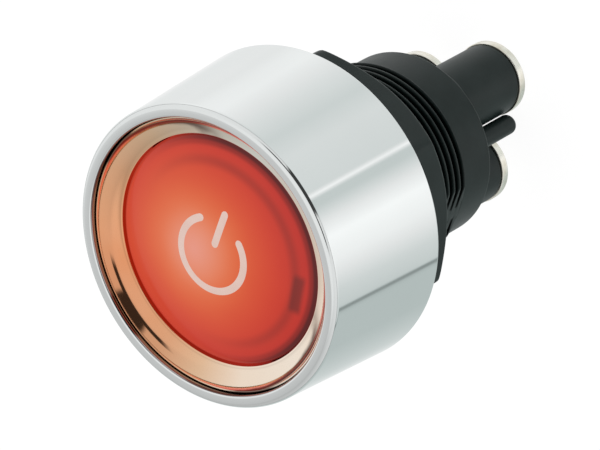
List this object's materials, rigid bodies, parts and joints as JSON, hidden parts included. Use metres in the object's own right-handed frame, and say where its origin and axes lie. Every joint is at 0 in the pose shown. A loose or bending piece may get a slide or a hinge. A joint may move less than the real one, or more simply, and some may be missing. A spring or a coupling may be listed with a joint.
{
  "type": "illuminated push button",
  "caption": "Round illuminated push button with a chrome bezel and red lens, for a panel hole, with a threaded barrel, nut and screw terminals behind.",
  "frame": {"origin": "centre of the bezel's rear rim, in the plane where it sits on the panel", "axes": "+Z out of the panel, towards the user's finger; +Y up on the lens's symbol; +X to its right"},
  "size_m": [0.035, 0.035, 0.0477],
  "materials": {
    "chrome": "polished chrome plate",
    "black_plastic": "moulded, satin",
    "rubber": "matt",
    "zinc_steel": "zinc plated",
    "spring_steel": "drawn wire",
    "red_lens": "translucent, polished",
    "symbol_white": "inlaid, satin",
    "white_plastic": "moulded",
    "copper_alloy": "stamped",
    "plated_brass": "tin plated",
    "circuit_board": "solder resist",
    "led_red": "clear epoxy",
    "resistor_blue": "lacquered"
  },
  "bodies": {
    "housing": {"housing": "black_plastic", "bezel": "chrome", "trim_ring": "chrome", "gasket": "rubber", "bumper": "rubber", "return_spring": "spring_steel", "terminal_base": "black_plastic", "base_seal": "rubber", "feed_terminal": "plated_brass", "switched_terminal": "plated_brass", "lamp_terminal": "plated_brass", "terminal_screws": "zinc_steel", "lamp_pillar": "white_plastic", "led_board": "circuit_board", "led": "led_red", "resistor": "resistor_blue", "lamp_feed_strip": "copper_alloy", "lamp_return_strip": "copper_alloy"},
    "plunger": {"plunger": "black_plastic", "lens": "red_lens", "symbol": "symbol_white", "diffuser": "white_plastic", "reflector": "white_plastic", "bridge_clip": "spring_steel"},
    "contact_ring": {"contact_bridge": "copper_alloy", "contact_spring": "spring_steel"},
    "washer": {"lock_washer": "zinc_steel"},
    "nut": {"panel_nut": "black_plastic"}
  },
  "joints": [
    {"name": "button_press", "type": "slide", "parent": "housing", "child": "plunger", "axis": [0, 0, -1], "range_m": [0, 0.003], "stiffness_N_per_m": 600, "springref_m": -0.003, "deforming": ["return_spring", "contact_spring"]},
    {"name": "contact_close", "type": "slide", "parent": "housing", "child": "contact_ring", "axis": [0, 0, -1], "range_m": [0, 0.00225]},
    {"name": "nut_travel", "type": "slide", "parent": "housing", "child": "washer", "axis": [0, 0, -1], "range_m": [0, 0.0066]},
    {"name": "nut_turn", "type": "hinge", "parent": "washer", "child": "nut", "pos_m": [0, 0, 0], "axis": [0, 0, -1], "range_deg": [0, 2340]}
  ],
  "couplings": [
    {"joint": "contact_close", "follows": "button_press", "ratio": 0.75},
    {"joint": "nut_travel", "follows": "nut_turn", "m_per_rad": 0.00015915}
  ]
}
